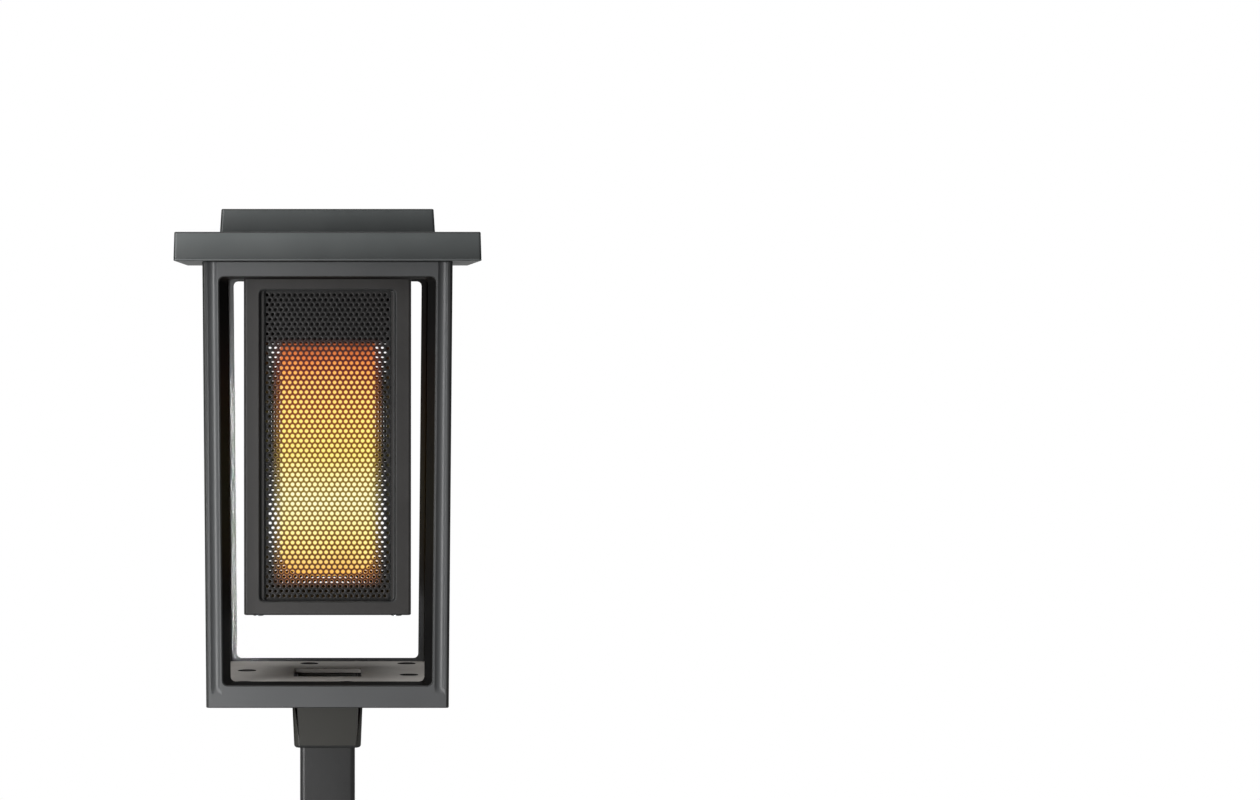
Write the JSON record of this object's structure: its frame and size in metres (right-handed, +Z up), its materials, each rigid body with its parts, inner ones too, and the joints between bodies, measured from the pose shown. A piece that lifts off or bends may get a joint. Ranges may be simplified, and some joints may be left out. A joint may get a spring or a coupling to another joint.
{
  "type": "solar lantern torch",
  "caption": "Solar flame-effect garden torch: square lantern head with mesh cage on a square two-section pole with a push-in ground stake.",
  "frame": {"origin": "the tip of the ground stake, on the pole's axis", "axes": "+Z up along the pole, the front faces -Y, the foot pedal points to +X"},
  "size_m": [0.1502, 0.1502, 1.4037],
  "materials": {
    "stake_plastic": "satin moulded",
    "pole_paint": "satin powder coat",
    "insert_plastic": "satin moulded",
    "lantern_plastic": "fine satin",
    "roof_plastic": "fine satin",
    "screw_steel": "zinc plated",
    "panel_board": "laminate",
    "solar_silicon": "polished under a clear coat",
    "gasket_rubber": "foam",
    "cage_paint": "satin paint",
    "mesh_paint": "satin paint on perforated sheet",
    "holder_plastic": "matt moulded",
    "frosted_diffuser": "frosted, lit from inside",
    "core_plastic": "moulded",
    "led_flex": "white solder mask",
    "led_light": "phosphor",
    "circuit_board": "green solder mask",
    "chip_black": "moulded",
    "cell_sleeve": "shrink sleeve",
    "contact_metal": "plated",
    "button_rubber": "matt",
    "wire_sleeve": "soft sleeve"
  },
  "bodies": {
    "stake": {"ground_stake": "stake_plastic"},
    "lower_pole": {"pole_lower": "pole_paint", "joint_insert": "insert_plastic"},
    "upper_pole": {"pole_upper": "pole_paint"},
    "head": {"pole_socket": "lantern_plastic", "socket_screws": "screw_steel", "floor_tray": "lantern_plastic", "tray_screws": "screw_steel", "lantern_frame": "lantern_plastic", "frame_screws": "screw_steel", "roof_base": "roof_plastic", "roof_cap": "roof_plastic", "roof_screws": "screw_steel", "solar_panel": "panel_board", "solar_cells": "solar_silicon", "panel_gasket": "gasket_rubber", "cage_frame": "cage_paint", "cage_screws": "screw_steel", "cage_floor": "cage_paint", "cage_floor_screws": "screw_steel", "mesh_front": "mesh_paint", "mesh_back": "mesh_paint", "mesh_left": "mesh_paint", "mesh_right": "mesh_paint", "module_holder": "holder_plastic", "holder_screws": "screw_steel", "diffuser": "frosted_diffuser", "led_core": "core_plastic", "led_board": "led_flex", "leds": "led_light", "control_board": "circuit_board", "board_parts": "chip_black", "board_screws": "screw_steel", "battery_cell": "cell_sleeve", "battery_holder": "holder_plastic", "battery_contacts": "contact_metal", "power_switch": "chip_black", "button_ring": "insert_plastic", "solar_leads": "wire_sleeve", "battery_leads": "wire_sleeve", "switch_leads": "wire_sleeve", "led_leads": "wire_sleeve"},
    "button": {"power_button": "button_rubber"}
  },
  "joints": [
    {"name": "lower_pole_pull_off", "type": "slide", "parent": "stake", "child": "lower_pole", "axis": [0, 0, 1], "range_m": [0, 0.034]},
    {"name": "upper_pole_pull_off", "type": "slide", "parent": "lower_pole", "child": "upper_pole", "axis": [0, 0, 1], "range_m": [0, 0.034]},
    {"name": "head_lift_off", "type": "slide", "parent": "upper_pole", "child": "head", "axis": [0, 0, 1], "range_m": [0, 0.026]},
    {"name": "button_press", "type": "slide", "parent": "head", "child": "button", "axis": [0, 0, 1], "range_m": [0, 0.0012], "stiffness_N_per_m": 400, "springref_m": -0.0005}
  ]
}
